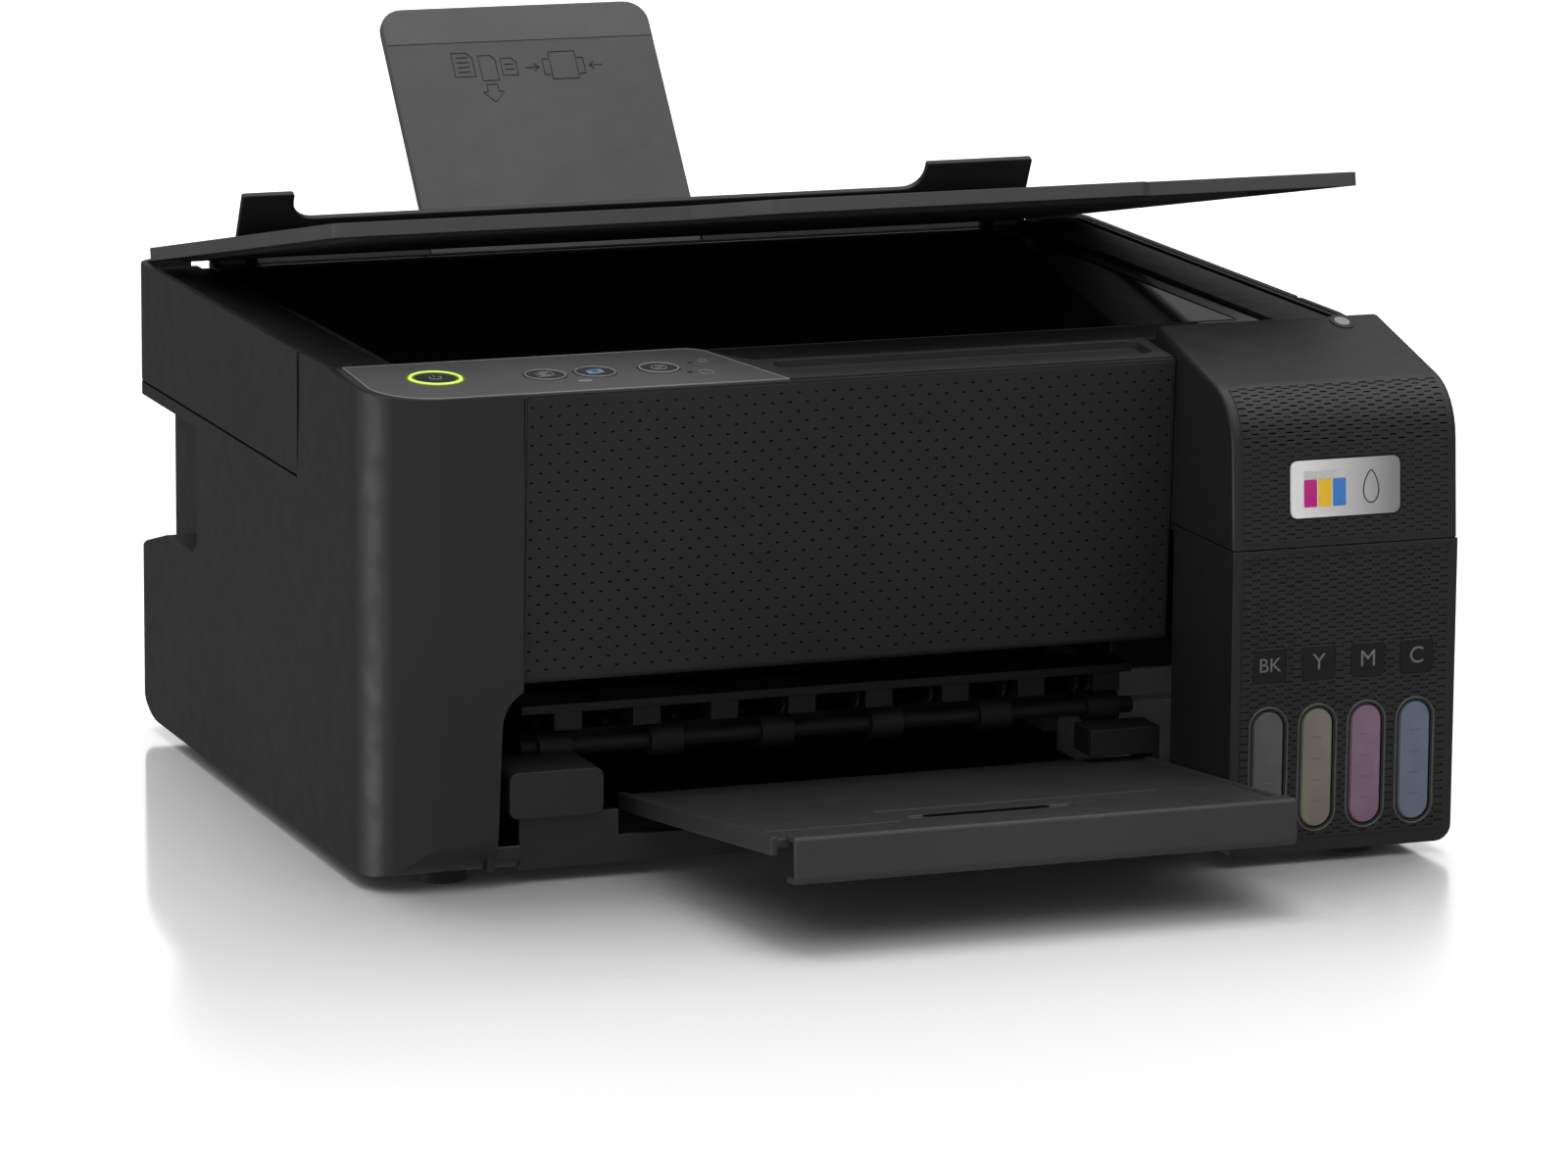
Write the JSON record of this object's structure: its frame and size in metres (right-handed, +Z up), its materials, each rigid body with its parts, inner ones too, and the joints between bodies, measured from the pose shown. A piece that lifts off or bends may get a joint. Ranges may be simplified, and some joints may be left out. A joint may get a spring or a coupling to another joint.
{
  "type": "inkjet printer",
  "caption": "Desktop ink-tank printer with flatbed scanner, hinged lid, rear paper feeder, pull-out tray and side ink tanks under a hinged cover.",
  "frame": {"origin": "middle of the printer's footprint, tray and feeder included, at the height of the table", "axes": "+X is the printer's right as one faces its controls, +Y runs from its front to its rear, +Z is up"},
  "size_m": [0.375, 0.4734, 0.2527],
  "materials": {
    "case": "charcoal moulded plastic, fine satin grain",
    "front_texture": "charcoal moulded plastic with a small raised pattern on its front",
    "deck": "charcoal satin plastic",
    "panel": "dark grey satin plastic with small printed signs",
    "button": "dark satin plastic",
    "ink_black": "translucent tank, black ink",
    "ink_yellow": "translucent tank, yellow ink",
    "ink_magenta": "translucent tank, magenta ink",
    "ink_cyan": "translucent tank, cyan ink",
    "cap": "soft dark stopper",
    "badge": "satin silver plate",
    "glass": "clear flat glass over a dark bed",
    "white_plastic": "off-white plastic",
    "steel": "plain steel",
    "lid": "grey moulded plastic, fine grain",
    "mat": "soft foam mat",
    "inner": "black plastic",
    "guard": "black satin plastic",
    "support": "dark grey plastic, fine grain",
    "tray": "dark grey plastic, fine grain",
    "rubber": "black rubber",
    "pad": "white felt",
    "board": "green circuit board"
  },
  "bodies": {
    "chassis": {"base_pan": "case", "left_cover": "case", "right_cover": "case", "rear_cover": "case", "front_panel": "front_texture", "top_ledge": "deck", "control_panel": "panel", "tank_housing": "front_texture", "ink_tank_black": "ink_black", "ink_tank_yellow": "ink_yellow", "ink_tank_magenta": "ink_magenta", "ink_tank_cyan": "ink_cyan", "scanner_hinge_left": "steel", "scanner_hinge_right": "steel", "feeder_frame": "inner", "exit_beam": "inner", "feed_motor": "steel", "platen": "inner", "guide_rod": "steel", "carriage_frame": "steel", "timing_belt": "rubber", "carriage_motor": "steel", "capping_station": "white_plastic", "waste_ink_pad": "pad", "main_board": "board", "power_supply": "inner", "ac_inlet": "inner", "usb_port": "steel", "foot_front_left": "rubber", "foot_front_right": "rubber", "foot_rear_left": "rubber", "foot_rear_right": "rubber"},
    "scanner_unit": {"scanner_case": "case", "scanner_glass": "glass"},
    "sensor": {"scan_bar": "white_plastic"},
    "lid": {"document_lid": "lid", "lid_mat": "mat"},
    "support": {"paper_support": "support"},
    "guide": {"edge_guide": "inner"},
    "guard": {"feeder_guard": "guard"},
    "tray": {"output_tray": "tray"},
    "extension": {"tray_extension": "tray"},
    "cover": {"tank_cover": "front_texture", "cover_badge": "badge"},
    "carriage": {"print_carriage": "inner", "print_head": "steel"},
    "feed": {"feed_roller": "rubber"},
    "pinion": {"motor_pinion": "steel"},
    "eject": {"eject_roller": "rubber"},
    "pickup": {"pickup_roller": "rubber"},
    "pulley": {"belt_pulley": "white_plastic"},
    "cap_black": {"tank_cap_black": "cap"},
    "cap_yellow": {"tank_cap_yellow": "cap"},
    "cap_magenta": {"tank_cap_magenta": "cap"},
    "cap_cyan": {"tank_cap_cyan": "cap"},
    "power_key": {"power_button": "button"},
    "copy_mono_key": {"copy_mono_button": "button"},
    "copy_colour_key": {"copy_colour_button": "button"},
    "stop_key": {"stop_button": "button"}
  },
  "joints": [
    {"name": "scanner_hinge", "type": "hinge", "parent": "chassis", "child": "scanner_unit", "pos_m": [0, 0.15685, 0.166], "axis": [-1, 0, 0], "range_deg": [0, 14.5]},
    {"name": "lid_hinge", "type": "hinge", "parent": "scanner_unit", "child": "lid", "pos_m": [0, 0.15685, 0.1722], "axis": [-1, 0, 0], "range_deg": [-10.7, 48]},
    {"name": "scan_bar_slide", "type": "slide", "parent": "scanner_unit", "child": "sensor", "axis": [1, 0, 0], "range_m": [0, 0.28]},
    {"name": "support_slide", "type": "slide", "parent": "chassis", "child": "support", "axis": [0, 0.6239, 0.7815], "range_m": [-0.078, 0]},
    {"name": "guard_hinge", "type": "hinge", "parent": "chassis", "child": "guard", "pos_m": [0, 0.16885, 0.173], "axis": [-1, 0, 0], "range_deg": [0, 50]},
    {"name": "edge_guide_slide", "type": "slide", "parent": "chassis", "child": "guide", "axis": [1, 0, 0], "range_m": [0, 0.105]},
    {"name": "output_tray_slide", "type": "slide", "parent": "chassis", "child": "tray", "axis": [0, 0.9952, -0.0976], "range_m": [0, 0.1]},
    {"name": "tray_extension_slide", "type": "slide", "parent": "tray", "child": "extension", "axis": [0, -0.9952, 0.0976], "range_m": [0, 0.085]},
    {"name": "tank_cover_hinge", "type": "hinge", "parent": "chassis", "child": "cover", "pos_m": [0, -0.10275, 0.168], "axis": [-1, 0, 0], "range_deg": [0, 60]},
    {"name": "carriage_slide", "type": "slide", "parent": "chassis", "child": "carriage", "axis": [-1, 0, 0], "range_m": [0, 0.225]},
    {"name": "feed_roller_turn", "type": "hinge", "parent": "chassis", "child": "feed", "pos_m": [0, -0.00615, 0.044], "axis": [1, 0, 0], "continuous": true},
    {"name": "motor_pinion_turn", "type": "hinge", "parent": "chassis", "child": "pinion", "pos_m": [0, -0.00615, 0.068], "axis": [1, 0, 0], "continuous": true},
    {"name": "eject_roller_turn", "type": "hinge", "parent": "chassis", "child": "eject", "pos_m": [0, -0.09015, 0.04], "axis": [1, 0, 0], "continuous": true},
    {"name": "pickup_roller_turn", "type": "hinge", "parent": "chassis", "child": "pickup", "pos_m": [0, 0.09355, 0.0967], "axis": [1, 0, 0], "continuous": true},
    {"name": "belt_pulley_turn", "type": "hinge", "parent": "chassis", "child": "pulley", "pos_m": [0.1665, -0.01215, 0.1], "axis": [0, 1, 0], "continuous": true},
    {"name": "tank_cap_black_hinge", "type": "hinge", "parent": "chassis", "child": "cap_black", "pos_m": [0.1175, -0.13515, 0.1165], "axis": [-1, 0, 0], "range_deg": [0, 95]},
    {"name": "tank_cap_yellow_hinge", "type": "hinge", "parent": "chassis", "child": "cap_yellow", "pos_m": [0.1359, -0.13515, 0.1165], "axis": [-1, 0, 0], "range_deg": [0, 95]},
    {"name": "tank_cap_magenta_hinge", "type": "hinge", "parent": "chassis", "child": "cap_magenta", "pos_m": [0.1543, -0.13515, 0.1165], "axis": [-1, 0, 0], "range_deg": [0, 95]},
    {"name": "tank_cap_cyan_hinge", "type": "hinge", "parent": "chassis", "child": "cap_cyan", "pos_m": [0.1727, -0.13515, 0.1165], "axis": [-1, 0, 0], "range_deg": [0, 95]},
    {"name": "power_button_press", "type": "slide", "parent": "chassis", "child": "power_key", "axis": [0, 0.0698, -0.9976], "range_m": [0, 0.0008], "stiffness_N_per_m": 400, "springref_m": -0.0005},
    {"name": "copy_mono_button_press", "type": "slide", "parent": "chassis", "child": "copy_mono_key", "axis": [0, 0.0698, -0.9976], "range_m": [0, 0.0008], "stiffness_N_per_m": 400, "springref_m": -0.0005},
    {"name": "copy_colour_button_press", "type": "slide", "parent": "chassis", "child": "copy_colour_key", "axis": [0, 0.0698, -0.9976], "range_m": [0, 0.0008], "stiffness_N_per_m": 400, "springref_m": -0.0005},
    {"name": "stop_button_press", "type": "slide", "parent": "chassis", "child": "stop_key", "axis": [0, 0.0698, -0.9976], "range_m": [0, 0.0008], "stiffness_N_per_m": 400, "springref_m": -0.0005}
  ],
  "couplings": [
    {"joint": "motor_pinion_turn", "follows": "feed_roller_turn", "ratio": -3},
    {"joint": "eject_roller_turn", "follows": "feed_roller_turn", "ratio": 1.2727},
    {"joint": "pickup_roller_turn", "follows": "feed_roller_turn", "ratio": -0.66667},
    {"joint": "belt_pulley_turn", "follows": "carriage_slide", "rad_per_m": -227.27}
  ]
}
